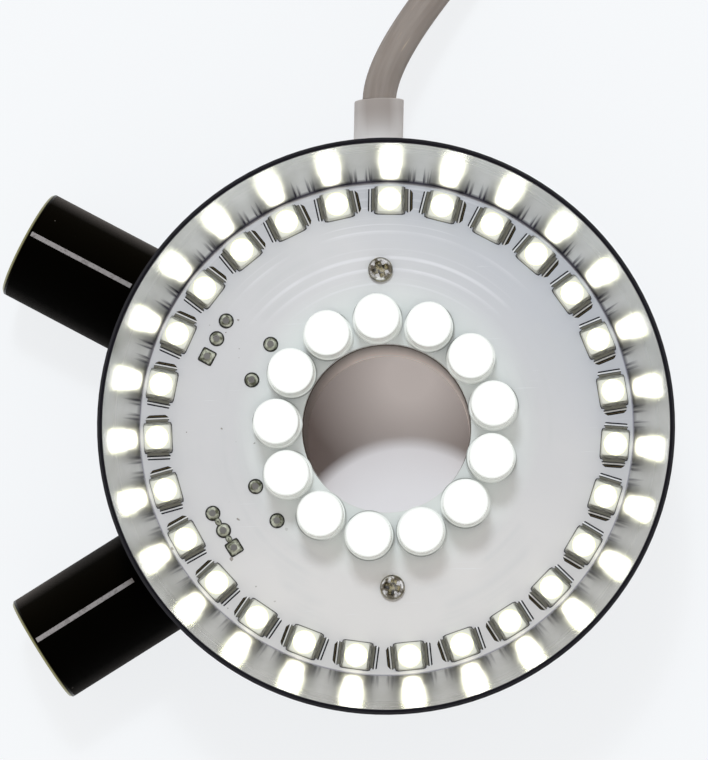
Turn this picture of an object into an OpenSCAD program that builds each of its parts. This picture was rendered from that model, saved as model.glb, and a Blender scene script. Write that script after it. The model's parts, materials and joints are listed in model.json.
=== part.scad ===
// Ring light for a bench microscope, lying on its rear face with the lamps facing up.
// The axis of the viewing bore is the Z axis, the rear face is at z = 0,
// the cord leaves towards +Y and the two dimmer knobs stand out towards -X.

/* [Housing] */
// Outside diameter of the turned housing
housing_d = 60; // [58:0.5:70]
// Thickness of the wall below the lamp board
wall_t = 2; // [1.6:0.1:2.6]
// Thickness of the thin lip that shows as the black rim
lip_t = 0.5; // [0.4:0.05:1]
// Thickness of the rear floor
floor_t = 2; // [1.5:0.1:2.5]
// Height of the ledge that carries the lamp board
ledge_z = 16; // [15.5:0.1:18]
// Depth of the cup from the rim to the lamp board
cup_depth = 6; // [5.5:0.1:8]
// Chamfer on the outer edges of the housing
edge_chamfer = 0.25; // [0.1:0.05:0.4]
// Diameter of the viewing bore
bore_d = 17.6; // [16:0.1:18]
// Wall of the tube around the viewing bore
tube_wall = 1.2; // [1:0.1:1.5]

/* [Lamp board] */
// Thickness of the lamp board
board_t = 1.6; // [1:0.1:2]
// Gap between the lamp board and the lip, all round
board_gap = 0.2; // [0.1:0.05:0.3]
// How much wider than the bore the hole in the board is, on each side
board_hole_step = 0.1; // [0.05:0.05:0.3]
// Diameter of the circle that the two board screws sit on
screw_circle_d = 33.4; // [32:0.1:36]
// Diameter of a board screw's head
screw_head_d = 2.7; // [2.4:0.1:3.2]
// Height of a board screw's head
screw_head_h = 0.9; // [0.7:0.1:1.2]
// Diameter of a board screw's shank
screw_d = 1.6; // [1.4:0.1:1.8]
// Length of a board screw below its head
screw_len = 7; // [5:0.5:9]
// Diameter of the posts that the board screws go into
post_d = 4.4; // [3.6:0.1:5]

/* [Reflector] */
// Width of the bright cone, seen from the front
reflector_w = 3.55; // [3:0.05:4.5]
// Flat edge at the top of the reflector
reflector_edge = 0.15; // [0.1:0.05:0.3]
// How far the reflector stays below the rim
reflector_drop = 0.2; // [0.1:0.05:0.6]
// Gap between the reflector and the lip
reflector_gap = 0.1; // [0.05:0.05:0.2]

/* [Outer lamps] */
// Number of surface-mounted lamps in the outer ring
smd_count = 27; // [18:1:29]
// Turn of the outer ring
smd_phase = 7; // [0:0.5:13]
// Length of a lamp case along the ring
smd_len = 3.2; // [3:0.1:3.4]
// Width of a lamp case across the ring
smd_w = 2.8; // [2.4:0.1:3]
// Height of a lamp case
smd_h = 1.9; // [1.6:0.1:2.2]
// Diameter of the lit cup of a lamp
smd_cup_d = 2.4; // [1.8:0.1:2.5]
// Depth of the lit cup of a lamp
smd_cup_depth = 0.8; // [0.6:0.05:1]
// Gap between the lamps and the foot of the reflector
smd_edge_gap = 0.3; // [0.2:0.05:0.6]
// Width of a lamp's lead
smd_lead_w = 2.2; // [1.8:0.1:2.4]
// Reach of a soldered lead along the board
smd_lead_reach = 0.8; // [0.5:0.05:0.9]
// Height of a lamp's lead
smd_lead_h = 1; // [0.8:0.1:1.3]

/* [Inner lamps] */
// Number of flat-topped lamps around the bore
flat_count = 13; // [8:1:14]
// Turn of the inner ring
flat_phase = 9.5; // [0:0.5:27]
// Diameter of a flat-topped lamp
flat_d = 4.8; // [4:0.1:5.2]
// Height of a flat-topped lamp
flat_h = 5.2; // [4.5:0.1:7]
// How far the flange at its foot stands out
flat_flange_step = 0.1; // [0.05:0.05:0.2]
// Height of the flange at its foot
flat_flange_h = 0.8; // [0.6:0.1:1.2]
// Gap between the flange and the edge of the hole in the board
flat_edge_gap = 0.05; // [0:0.05:0.5]
// Distance between a lamp's two leads
flat_lead_pitch = 2.54; // [2:0.02:3]
// Diameter of a lamp's lead
flat_lead_d = 0.5; // [0.4:0.05:0.6]
// Length of a lead behind the board
flat_lead_tail = 1.4; // [1:0.1:2]

/* [Dimmers] */
// Height of the knob axes above the rear face
axis_z = 8.5; // [8.2:0.1:9]
// Angle between each knob and the -X axis
knob_spread = 30; // [26:1:45]
// Width and height of a dimmer's case
pot_w = 9.6; // [9:0.1:10]
// Length of a dimmer's case with its switch
pot_len = 13.6; // [13:0.2:16]
// Thickness of a dimmer's front plate
pot_plate_t = 0.8; // [0.6:0.1:1]
// Outside diameter of a dimmer's bush
bush_d = 7; // [6.8:0.1:7.6]
// Diameter of a dimmer's shaft
shaft_d = 6; // [5.6:0.1:6.2]
// Diameter of the shaft inside the case
spindle_d = 3; // [2.6:0.1:3.4]
// Running gap of the shaft in its bush, on each side
shaft_play = 0.05; // [0.03:0.01:0.08]
// Diameter of the round chamber for the wiper
chamber_d = 8.4; // [8:0.1:8.6]
// Length of the chamber for the wiper
chamber_len = 7.4; // [7.2:0.1:7.8]
// Thickness of the turning wiper disc
rotor_t = 1.6; // [1.2:0.1:1.8]
// Thickness of the resistance track
track_t = 0.6; // [0.4:0.1:0.8]
// Distance from the front plate back to the row of three pins
pin_row_setback = 7.3; // [7:0.1:7.8]
// Distance from the front plate back to the two switch pins
switch_row_setback = 12.6; // [12:0.1:12.8]
// Distance between the pins
pin_pitch = 2.12; // [2:0.02:2.2]
// Diameter of a pin
pin_d = 0.7; // [0.6:0.05:0.8]
// Width of a solder pad
pad_w = 1.6; // [1.4:0.05:1.8]
// Height of a solder joint
joint_h = 0.7; // [0.5:0.05:0.9]

/* [Knobs] */
// Diameter of a knob
knob_d = 12; // [11:0.1:13]
// Length of a knob without its end cap
knob_len = 13.6; // [12:0.1:15]
// Depth of the flat that is cut into the wall behind a knob
knob_seat_depth = 0.9; // [0.7:0.05:1]
// Gap between a knob and its flat
knob_gap = 0.4; // [0.3:0.1:0.8]
// Gap around a knob in its flat
knob_side_gap = 0.4; // [0.3:0.1:0.8]
// Thickness of the bright end cap
cap_t = 0.5; // [0.4:0.05:0.8]
// Chamfer around the end cap
cap_chamfer = 0.25; // [0.15:0.05:0.35]
// Thickness of the knob beyond the end of the shaft
knob_end_wall = 1.9; // [1.2:0.1:3]
// Width of the white pointer line
pointer_w = 0.5; // [0.3:0.05:0.8]
// Depth of the white pointer line
pointer_depth = 0.4; // [0.3:0.05:0.6]
// Length of knob that the pointer leaves bare next to the housing
pointer_stop = 1.6; // [1:0.1:3]
// Turn of the pointer away from straight up
pointer_turn = 8; // [0:1:20]

/* [Cord] */
// Diameter of the cord
cable_d = 3.6; // [3:0.1:4]
// Outside diameter of the cord sleeve
sleeve_d = 5.3; // [5:0.1:6]
// How far the cord sleeve stands out of the housing
sleeve_out = 5.7; // [4:0.1:8]
// Diameter of the sleeve's inner flange
sleeve_flange_d = 7; // [6.6:0.1:7.6]
// Thickness of the sleeve's inner flange
sleeve_flange_t = 1.2; // [1:0.1:1.6]
// Diameter of a wire inside the housing
wire_d = 1; // [0.8:0.1:1.2]
// Bend radius of the wires inside the housing
wire_bend = 2; // [1.6:0.1:2.4]
// Distance from the housing to the middle of the coil that the spare cord is wound into
coil_away = 56; // [50:1:70]
// Number of turns in the coil
coil_turns = 8.5; // [6.5:1:9.5]
// Radius of the outermost turn of the coil, to the middle of the cord
coil_r = 30; // [26:0.5:36]
// Distance between neighbouring turns and layers
coil_pitch = 4.2; // [4:0.05:4.6]
// Thickness of the strap that holds the coil
tie_t = 0.5; // [0.4:0.1:1]
// Width of the strap that holds the coil
tie_w = 5; // [4:0.5:7]
// How far back from the end of the coil the plug starts
plug_back = 19; // [16:0.5:30]
// Gap between the coil and the plug that lies beside it
plug_clear = 0.5; // [0.3:0.1:2]
// Turn of the plug away from the knobs, so that a socket reaches it
plug_turn = 16; // [14:1:24]
// Diameter of the plug's grip
plug_d = 9; // [8:0.5:11]
// Length of the plug's grip
plug_len = 19; // [17:0.5:22]
// Diameter of the plug's metal sleeve
plug_sleeve_d = 5.5; // [5:0.1:6]
// Length of the plug's metal sleeve
plug_sleeve_len = 9.5; // [8:0.5:11]
// Diameter of the hole in the plug's tip
plug_hole_d = 2.1; // [1.8:0.1:2.5]

/* [Clearances] */
// Gap around pins, leads, screws and inlays
fit_gap = 0.02; // [0.01:0.01:0.04]
// Gap around leads and pins in the holes of the board
hole_gap = 0.15; // [0.1:0.05:0.2]
// Gap around bushes and sleeves in the wall, and beside parts that sit in the housing
seat_gap = 0.1; // [0.05:0.05:0.15]
// Gap between the coil and its strap
tie_gap = 0.3; // [0.2:0.05:0.4]

/* [Hidden] */
$fn = 64;
over = 1;

// Housing
housing_r = housing_d / 2;
inner_r = housing_r - wall_t;
lip_r = housing_r - lip_t;
bore_r = bore_d / 2;
tube_r = bore_r + tube_wall;
board_z = ledge_z + board_t;
rim_z = board_z + cup_depth;
screw_r = screw_circle_d / 2;
post_hole_depth = screw_len - board_t + over;
screw_dome = 0.4;
screw_recess = [1.6, 0.38, 0.54];
screw_recess_turn = 35;

// Reflector and lamps
reflector_r = lip_r - reflector_gap;
reflector_top_r = reflector_r - reflector_edge;
reflector_foot_r = reflector_top_r - reflector_w;
smd_r = reflector_foot_r - smd_edge_gap - smd_w / 2;
smd_corner = 0.5;
smd_cup_taper = 0.25;
smd_cup_foot_d = smd_cup_d - 2 * smd_cup_taper;
smd_lead_t = 0.15;
smd_solder_h = 0.55;
smd_solder_waist = [0.17, 0.36];
board_hole_r = bore_r + board_hole_step;
flat_flange_r = flat_d / 2 + flat_flange_step;
flat_r = board_hole_r + flat_edge_gap + flat_flange_r;
flat_chamfer = 0.12;
resistor_count = 9;
resistor_phase = 10;
resistor_size = [1.6, 3.2, 0.6];

// Dimmers, in a frame whose x axis points out along the knob
knob_angles = [180 - knob_spread, 180 + knob_spread];
plate_front = sqrt(pow(inner_r - seat_gap, 2) - pow(pot_w / 2, 2));
plate_back = plate_front - pot_plate_t;
case_back = plate_back - pot_len;
chamber_back = plate_back - chamber_len;
pin_rows = [plate_front - pin_row_setback, plate_front - switch_row_setback];
pin_places = [
    [pin_rows[0], -pin_pitch], [pin_rows[0], 0], [pin_rows[0], pin_pitch],
    [pin_rows[1], -pin_pitch], [pin_rows[1], pin_pitch]
];
square_pad = 2;
pad_t = 0.08;
pad_margin = 0.06;
joint_collar = 0.18;
pin_top = board_z + pad_t + joint_h;
pin_foot = axis_z + pot_w / 2;
wiper_gap = 0.4;
spindle_stub = 0.5;
shaft_inset = 2;
rotor_play = 0.5;
spindle_end = chamber_back + track_t + wiper_gap;
rotor_back = spindle_end + spindle_stub;
spindle_step = plate_back - shaft_inset;

// Knobs
knob_r = knob_d / 2;
knob_seat = housing_r - knob_seat_depth;
knob_back = knob_seat + knob_gap;
knob_end = knob_back + knob_len;
shaft_end = knob_end - knob_end_wall;

// Cord
cable_r = cable_d / 2;
sleeve_end = housing_r + sleeve_out;
flange_front = sqrt(pow(inner_r - seat_gap, 2) - pow(sleeve_flange_d / 2, 2));
jacket_stub = 2.5;
wire_stub = 1;
wire_x = 0.75;
tail_end = flange_front - sleeve_flange_t - jacket_stub;
wire_rise_y = tail_end - wire_stub - wire_bend;
floor_z = tie_t + tie_gap + cable_r;
coil_centre = [0, housing_r + coil_away];
coil_start = -40;
coil_climb = 0.5;
coil_rings = 24;
coil_sides = 6;
lead_sides = 8;
bend_steps = 10;
tangent_step = 0.001;
tie_angle = 90;

// How far the cord keeps its heading as it leaves the sleeve, meets the coil and nears the plug
sleeve_handle = 7;
coil_handle = 12;
plug_handle = 9;

// Plug
plug_neck_len = 4;
plug_neck_wall = 0.7;
plug_neck_flare = 0.4;
plug_shoulder = [3, 0.4];
plug_shoulder_end = 1;
plug_edge = 0.6;
plug_sleeve_wall = 0.5;
plug_hole_floor = 1;
rib_count = 5;
rib_first = 9.5;
rib_pitch = 1.6;
rib_size = [0.8, 0.8, 5];

// The coil spirals in on the lower layer and out again on the upper one,
// and climbs in the half turn where the spiral reverses.
function climb(turn) =
    let (share = min(1, max(0, (turn - (coil_turns - coil_climb) / 2) / coil_climb)))
    share * share * (3 - 2 * share);
function coil_point(turn) =
    let (r = coil_r - coil_pitch * min(turn, coil_turns - turn), angle = coil_start + 360 * turn)
    [
        coil_centre[0] + r * cos(angle), coil_centre[1] + r * sin(angle),
        floor_z + coil_pitch * climb(turn)
    ];
function unit(v) = v / norm(v);

// A smooth bend between two points, each with a handle that sets its heading
function bend(from, leave, arrive, to) = [
    for (i = [0:bend_steps])
        let (t = i / bend_steps, s = 1 - t)
        s * s * s * from + 3 * s * s * t * leave + 3 * s * t * t * arrive + t * t * t * to
];

coil_steps = coil_rings * coil_turns;
coil_turn_points = [for (i = [0:coil_steps]) coil_point(i / coil_rings)];
coil_in = unit(coil_point(tangent_step) - coil_point(0));
coil_out = unit(coil_point(coil_turns) - coil_point(coil_turns - tangent_step));
coil_first = coil_turn_points[0] - coil_in * cable_d;
coil_last = coil_turn_points[coil_steps] + coil_out * cable_d;
coil_path = concat([coil_first], coil_turn_points, [coil_last]);
lead_start = [0, sleeve_end, axis_z];
lead_path = bend(
    lead_start, lead_start + [0, sleeve_handle, 0], coil_first - coil_in * coil_handle, coil_first
);
plug_heading = [-sin(plug_turn), -cos(plug_turn), 0];
plug_place = [coil_centre[0] - coil_r - plug_clear - plug_d / 2, coil_last[1] - plug_back, plug_d / 2];
plug_path = bend(
    coil_last, coil_last + coil_out * plug_handle, plug_place - plug_heading * plug_handle, plug_place
);

// A round tube swept along points, square to the given directions at its two ends
module swept_tube(points, r, sides, first, last) {
    n = len(points);
    headings = [
        for (i = [0:n - 1])
            i == 0 ? unit(first) : i == n - 1 ? unit(last) : unit(points[i + 1] - points[i - 1])
    ];
    rings = [
        for (i = [0:n - 1])
            let (side = unit(cross([0, 0, 1], headings[i])), up = cross(headings[i], side))
            for (k = [0:sides - 1])
                points[i] + r * (cos(360 * k / sides) * side + sin(360 * k / sides) * up)
    ];
    walls = [
        for (i = [0:n - 2], k = [0:sides - 1], half = [0, 1])
            let (a = i * sides + k, b = i * sides + (k + 1) % sides)
            half == 0 ? [a, b, b + sides] : [a, b + sides, a + sides]
    ];
    ends = [
        for (k = [1:sides - 2], tip = [0, 1])
            let (a = (n - 1) * sides)
            tip == 0 ? [0, k + 1, k] : [a, a + k, a + k + 1]
    ];
    polyhedron(points = rings, faces = concat(walls, ends), convexity = 8);
}

// A rod along the x axis
module rod(from, to, d) {
    translate([from, 0, 0]) rotate([0, 90, 0]) cylinder(h = to - from, d = d);
}

// Copies around the bore
module around(count, r, phase) {
    for (i = [0:count - 1]) rotate([0, 0, phase + i * 360 / count]) translate([r, 0, 0]) children();
}

// The frame of one dimmer, with x pointing out along its knob
module at_knob(angle) {
    rotate([0, 0, angle]) translate([0, 0, axis_z]) children();
}

// The frame of the cord's way out, with x pointing out along it
module at_cord() {
    rotate([0, 0, 90]) translate([0, 0, axis_z]) children();
}

module at_screws() {
    for (side = [-1, 1]) translate([0, side * screw_r, 0]) children();
}

module housing() {
    color([0.06, 0.06, 0.065]) difference() {
        union() {
            rotate_extrude() polygon([
                [bore_r, 0], [housing_r - edge_chamfer, 0], [housing_r, edge_chamfer],
                [housing_r, rim_z - edge_chamfer], [housing_r - edge_chamfer, rim_z], [lip_r, rim_z],
                [lip_r, ledge_z], [inner_r, ledge_z], [inner_r, floor_t],
                [tube_r, floor_t], [tube_r, ledge_z], [bore_r, ledge_z]
            ]);
            at_screws() translate([0, 0, floor_t / 2]) cylinder(h = ledge_z - floor_t / 2, d = post_d);
        }
        at_screws() translate([0, 0, ledge_z - post_hole_depth])
            cylinder(h = post_hole_depth + over, d = screw_d + 2 * fit_gap);
        for (angle = knob_angles) at_knob(angle) {
            rod(inner_r - over, housing_r + over, bush_d + 2 * seat_gap);
            rod(knob_seat, housing_r + over, knob_d + 2 * knob_side_gap);
        }
        at_cord() rod(inner_r - over, housing_r + over, sleeve_d + 2 * seat_gap);
    }
}

module reflector_ring() {
    color([0.82, 0.83, 0.85]) rotate_extrude() polygon([
        [reflector_foot_r, board_z], [reflector_r, board_z],
        [reflector_r, rim_z - reflector_drop], [reflector_top_r, rim_z - reflector_drop]
    ]);
}

module led_board() {
    color([0.8, 0.81, 0.84]) difference() {
        translate([0, 0, ledge_z]) cylinder(h = board_t, r = lip_r - board_gap);
        translate([0, 0, ledge_z - over]) {
            cylinder(h = board_t + 2 * over, r = board_hole_r);
            at_screws() cylinder(h = board_t + 2 * over, d = screw_d + 2 * hole_gap);
            for (angle = knob_angles, place = pin_places)
                rotate([0, 0, angle]) translate([place[0], place[1], 0])
                    cylinder(h = board_t + 2 * over, d = pin_d + 2 * hole_gap);
            around(flat_count, flat_r, flat_phase) for (side = [-1, 1])
                translate([0, side * flat_lead_pitch / 2, 0])
                    cylinder(h = board_t + 2 * over, d = flat_lead_d + 2 * hole_gap);
        }
    }
}

// Pan-headed screws with a cross recess
module board_screws() {
    color([0.72, 0.73, 0.75]) at_screws() translate([0, 0, board_z]) {
        difference() {
            rotate_extrude() polygon([
                [0, 0], [screw_head_d / 2, 0], [screw_head_d / 2, screw_head_h - screw_dome],
                [screw_head_d / 2 - screw_dome, screw_head_h], [0, screw_head_h]
            ]);
            for (turn = [0, 90]) rotate([0, 0, turn + screw_recess_turn])
                translate([-screw_recess[0] / 2, -screw_recess[1] / 2, screw_head_h - screw_recess[2]])
                    cube(screw_recess + [0, 0, over]);
        }
        translate([0, 0, -screw_len]) cylinder(h = screw_len, d = screw_d);
    }
}

// Moulded cases with a round cup and one cut corner
module smd_led_cases() {
    half_len = smd_len / 2;
    half_w = smd_w / 2;
    color([0.93, 0.92, 0.88]) around(smd_count, smd_r, smd_phase) translate([0, 0, board_z])
        difference() {
            linear_extrude(smd_h) polygon([
                [-half_w, -half_len], [half_w, -half_len], [half_w, half_len],
                [smd_corner - half_w, half_len], [-half_w, half_len - smd_corner]
            ]);
            translate([0, 0, smd_h - smd_cup_depth])
                cylinder(h = smd_cup_depth, d1 = smd_cup_foot_d, d2 = smd_cup_d);
        }
}

module smd_led_lenses() {
    fill = smd_cup_depth - fit_gap;
    foot_d = smd_cup_foot_d - 2 * fit_gap;
    taper = (smd_cup_d - smd_cup_foot_d) * fill / smd_cup_depth;
    color([1, 0.97, 0.82]) around(smd_count, smd_r, smd_phase)
        translate([0, 0, board_z + smd_h - smd_cup_depth])
            cylinder(h = fill, d1 = foot_d, d2 = foot_d + taper);
}

// Folded leads with their solder fillets
module smd_led_leads() {
    color([0.62, 0.63, 0.64]) around(smd_count, smd_r, smd_phase) for (side = [0, 1])
        mirror([0, side, 0]) translate([smd_lead_w / 2, smd_len / 2, board_z]) rotate([0, -90, 0])
            linear_extrude(smd_lead_w) polygon([
                [0, 0], [0, smd_lead_reach], smd_solder_waist,
                [smd_solder_h, smd_lead_t], [smd_lead_h, smd_lead_t], [smd_lead_h, 0]
            ]);
}

// Flat-topped clear lamps with a small flange
module flat_led_lenses() {
    color([0.9, 0.95, 0.93]) around(flat_count, flat_r, flat_phase) translate([0, 0, board_z])
        rotate_extrude() polygon([
            [0, 0], [flat_flange_r, 0], [flat_flange_r, flat_flange_h], [flat_d / 2, flat_flange_h],
            [flat_d / 2, flat_h - flat_chamfer], [flat_d / 2 - flat_chamfer, flat_h], [0, flat_h]
        ]);
}

module flat_led_leads() {
    color([0.7, 0.71, 0.72]) around(flat_count, flat_r, flat_phase) for (side = [-1, 1])
        translate([0, side * flat_lead_pitch / 2, ledge_z - flat_lead_tail])
            cylinder(h = board_t + flat_lead_tail, d = flat_lead_d);
}

module ballast_resistors() {
    color([0.1, 0.1, 0.11]) around(resistor_count, smd_r, resistor_phase)
        translate([-resistor_size[0] / 2, -resistor_size[1] / 2, ledge_z - resistor_size[2]])
            cube(resistor_size);
}

// Solder pads and joints of the dimmers' pins, with one square pad for each dimmer
module pot_solder_joints() {
    color([0.45, 0.47, 0.45]) for (angle = knob_angles, i = [0:len(pin_places) - 1])
        rotate([0, 0, angle]) translate([pin_places[i][0], pin_places[i][1], board_z]) difference() {
            union() {
                if (i == square_pad) translate([-pad_w / 2, -pad_w / 2, 0]) cube([pad_w, pad_w, pad_t]);
                else cylinder(h = pad_t, d = pad_w);
                translate([0, 0, pad_t])
                    cylinder(h = joint_h, d1 = pad_w - 2 * pad_margin, d2 = pin_d + 2 * joint_collar);
            }
            translate([0, 0, -over]) cylinder(h = joint_h + pad_t + 2 * over, d = pin_d + 2 * fit_gap);
        }
}

module pot_case(angle) {
    color([0.16, 0.2, 0.18]) at_knob(angle) difference() {
        translate([case_back, -pot_w / 2, -pot_w / 2]) cube([pot_len, pot_w, pot_w]);
        rod(chamber_back, plate_back + over, chamber_d);
    }
}

module pot_frame(angle) {
    color([0.66, 0.66, 0.64]) at_knob(angle) difference() {
        union() {
            translate([plate_back, -pot_w / 2, -pot_w / 2]) cube([pot_plate_t, pot_w, pot_w]);
            rod(plate_back, knob_seat, bush_d);
        }
        rod(plate_back - over, knob_seat + over, shaft_d + 2 * shaft_play);
    }
}

module pot_pins(angle) {
    color([0.75, 0.75, 0.72]) rotate([0, 0, angle]) for (place = pin_places)
        translate([place[0], place[1], pin_foot]) cylinder(h = pin_top - pin_foot, d = pin_d);
}

module pot_track(angle) {
    color([0.25, 0.16, 0.1]) at_knob(angle) difference() {
        rod(chamber_back, chamber_back + track_t, chamber_d - 2 * seat_gap);
        rod(chamber_back - over, chamber_back + track_t + over, spindle_d + 2 * seat_gap);
    }
}

module pot_rotor(angle) {
    color([0.85, 0.83, 0.76]) at_knob(angle) difference() {
        rod(rotor_back, rotor_back + rotor_t, chamber_d - 2 * rotor_play);
        rod(rotor_back - over, rotor_back + rotor_t + over, spindle_d + 2 * fit_gap);
    }
}

module pot_shaft(angle) {
    color([0.78, 0.78, 0.76]) at_knob(angle) union() {
        rod(spindle_end, spindle_step, spindle_d);
        rod(spindle_step, shaft_end, shaft_d);
    }
}

// The slot for a pointer line, with a gap all round
module pointer_slot(gap, bottom) {
    rotate([pointer_turn, 0, 0])
        translate([knob_back + pointer_stop - gap, -pointer_w / 2 - gap, bottom])
            cube([knob_len - pointer_stop + 2 * gap, pointer_w + 2 * gap, knob_r]);
}

module knob(angle) {
    color([0.035, 0.035, 0.04]) at_knob(angle) difference() {
        rod(knob_back, knob_end, knob_d);
        rod(knob_back - over, shaft_end, shaft_d + 2 * fit_gap);
        pointer_slot(fit_gap, knob_r - pointer_depth);
    }
}

module knob_cap(angle) {
    color([0.8, 0.79, 0.7]) at_knob(angle) union() {
        rod(knob_end, knob_end + cap_t - cap_chamfer, knob_d);
        translate([knob_end + cap_t - cap_chamfer, 0, 0]) rotate([0, 90, 0])
            cylinder(h = cap_chamfer, d1 = knob_d, d2 = knob_d - 2 * cap_chamfer);
    }
}

module knob_pointer(angle) {
    color([0.85, 0.85, 0.83]) at_knob(angle) intersection() {
        rod(knob_back, knob_end, knob_d);
        pointer_slot(0, knob_r - pointer_depth);
    }
}

module cable_sleeve() {
    color([0.7, 0.68, 0.67]) at_cord() difference() {
        union() {
            rod(flange_front - sleeve_flange_t, flange_front, sleeve_flange_d);
            rod(flange_front - sleeve_flange_t / 2, sleeve_end, sleeve_d);
        }
        rod(flange_front - sleeve_flange_t - over, sleeve_end + over, cable_d + 2 * fit_gap);
    }
}

// The cord's jacket inside the sleeve and the housing
module cable_tail() {
    color([0.57, 0.53, 0.51]) at_cord() rod(tail_end, sleeve_end, cable_d);
}

// A wire from the end of the jacket that bends up to the back of the board
module core_wire(x) {
    translate([x, 0, axis_z]) {
        translate([0, wire_rise_y + wire_bend, 0]) rotate([-90, 0, 0])
            cylinder(h = tail_end - wire_rise_y - wire_bend, d = wire_d);
        translate([0, wire_rise_y + wire_bend, wire_bend]) rotate([90, 180, 90])
            rotate_extrude(angle = 90) translate([wire_bend, 0]) circle(d = wire_d);
        translate([0, wire_rise_y, wire_bend]) cylinder(h = ledge_z - axis_z - wire_bend, d = wire_d);
    }
}

module positive_wire() {
    color([0.7, 0.1, 0.08]) core_wire(wire_x);
}

module negative_wire() {
    color([0.12, 0.12, 0.13]) core_wire(-wire_x);
}

module lead_cable() {
    color([0.57, 0.53, 0.51]) swept_tube(lead_path, cable_r, lead_sides, [0, 1, 0], coil_in);
}

module cable_coil() {
    color([0.57, 0.53, 0.51]) swept_tube(coil_path, cable_r, coil_sides, coil_in, coil_out);
}

module plug_cable() {
    color([0.57, 0.53, 0.51]) swept_tube(plug_path, cable_r, lead_sides, coil_out, plug_heading);
}

// Outline of the strap around the section of the coil
module tie_outline(grow) {
    reach_in = coil_r - coil_pitch * coil_turns / 2;
    half_h = coil_pitch / 2 + cable_r + grow;
    translate([reach_in, -half_h]) square([coil_r - reach_in, 2 * half_h]);
    translate([reach_in, 0]) circle(r = half_h);
    translate([coil_r, 0]) circle(r = half_h);
}

module coil_tie() {
    color([0.08, 0.08, 0.085]) translate([coil_centre[0], coil_centre[1], floor_z + coil_pitch / 2])
        rotate([90, 0, tie_angle]) translate([0, 0, -tie_w / 2]) linear_extrude(tie_w) difference() {
            tie_outline(tie_gap + tie_t);
            tie_outline(tie_gap);
        }
}

module at_plug() {
    translate(plug_place) rotate([0, 0, atan2(plug_heading[1], plug_heading[0])]) children();
}

module plug_grip() {
    r = plug_d / 2;
    neck_r = cable_r + plug_neck_wall;
    shoulder = plug_neck_len + plug_shoulder[0];
    color([0.07, 0.07, 0.075]) at_plug() difference() {
        rotate([0, 90, 0]) rotate_extrude() polygon([
            [0, 0], [neck_r, 0], [neck_r + plug_neck_flare, plug_neck_len],
            [r - plug_shoulder[1], shoulder], [r, shoulder + plug_shoulder_end],
            [r, plug_len - plug_edge], [r - plug_edge, plug_len], [0, plug_len]
        ]);
        for (side = [-1, 1], i = [0:rib_count - 1])
            translate([rib_first + rib_pitch * i, side * r, 0]) cube(rib_size, center = true);
    }
}

module plug_sleeve() {
    color([0.8, 0.8, 0.8]) at_plug() difference() {
        rod(plug_len, plug_len + plug_sleeve_len, plug_sleeve_d);
        rod(plug_len - over, plug_len + plug_sleeve_len + over, plug_sleeve_d - 2 * plug_sleeve_wall);
    }
}

module plug_insulator() {
    core_d = plug_sleeve_d - 2 * plug_sleeve_wall - 2 * fit_gap;
    color([0.09, 0.09, 0.1]) at_plug() difference() {
        rod(plug_len, plug_len + plug_sleeve_len, core_d);
        rod(plug_len + plug_hole_floor, plug_len + plug_sleeve_len + over, plug_hole_d);
    }
}

housing();
reflector_ring();
led_board();
board_screws();
smd_led_cases();
smd_led_lenses();
smd_led_leads();
flat_led_lenses();
flat_led_leads();
ballast_resistors();
pot_solder_joints();
pot_case(knob_angles[0]);  // upper_pot_case
pot_frame(knob_angles[0]);  // upper_pot_frame
pot_pins(knob_angles[0]);  // upper_pot_pins
pot_track(knob_angles[0]);  // upper_pot_track
pot_rotor(knob_angles[0]);  // upper_pot_rotor
pot_shaft(knob_angles[0]);  // upper_pot_shaft
knob(knob_angles[0]);  // upper_knob
knob_cap(knob_angles[0]);  // upper_knob_cap
knob_pointer(knob_angles[0]);  // upper_knob_pointer
pot_case(knob_angles[1]);  // lower_pot_case
pot_frame(knob_angles[1]);  // lower_pot_frame
pot_pins(knob_angles[1]);  // lower_pot_pins
pot_track(knob_angles[1]);  // lower_pot_track
pot_rotor(knob_angles[1]);  // lower_pot_rotor
pot_shaft(knob_angles[1]);  // lower_pot_shaft
knob(knob_angles[1]);  // lower_knob
knob_cap(knob_angles[1]);  // lower_knob_cap
knob_pointer(knob_angles[1]);  // lower_knob_pointer
cable_sleeve();
cable_tail();
positive_wire();
negative_wire();
lead_cable();
cable_coil();
coil_tie();
plug_cable();
plug_grip();
plug_sleeve();
plug_insulator();
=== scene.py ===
import json
from functools import partial
from math import radians, tau

import bpy
import numpy as np
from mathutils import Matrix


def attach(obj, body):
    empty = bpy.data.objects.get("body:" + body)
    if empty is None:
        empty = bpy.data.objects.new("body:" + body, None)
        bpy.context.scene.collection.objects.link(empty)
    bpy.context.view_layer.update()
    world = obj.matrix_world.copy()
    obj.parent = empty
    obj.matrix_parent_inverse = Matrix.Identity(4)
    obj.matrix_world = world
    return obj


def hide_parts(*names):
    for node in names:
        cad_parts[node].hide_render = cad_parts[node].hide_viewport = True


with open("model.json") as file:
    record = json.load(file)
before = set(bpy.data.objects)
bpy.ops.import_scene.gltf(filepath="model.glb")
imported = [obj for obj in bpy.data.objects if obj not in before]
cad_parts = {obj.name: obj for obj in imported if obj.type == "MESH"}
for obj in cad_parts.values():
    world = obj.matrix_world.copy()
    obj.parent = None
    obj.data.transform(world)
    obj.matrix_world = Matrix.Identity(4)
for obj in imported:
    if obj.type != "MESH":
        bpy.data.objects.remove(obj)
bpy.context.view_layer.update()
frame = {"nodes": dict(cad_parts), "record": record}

scene = bpy.context.scene
scene.view_settings.view_transform = "Standard"
nodes = frame["nodes"]
mm = 0.001
boardTop = 17.6  # height of the board's face in mm, which the lamps, screws and solder stand on
print("frame loaded:", len(nodes), "nodes")


def addObject(name, data):
    made = bpy.data.objects.new(name, data)
    scene.collection.objects.link(made)
    return made


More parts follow.
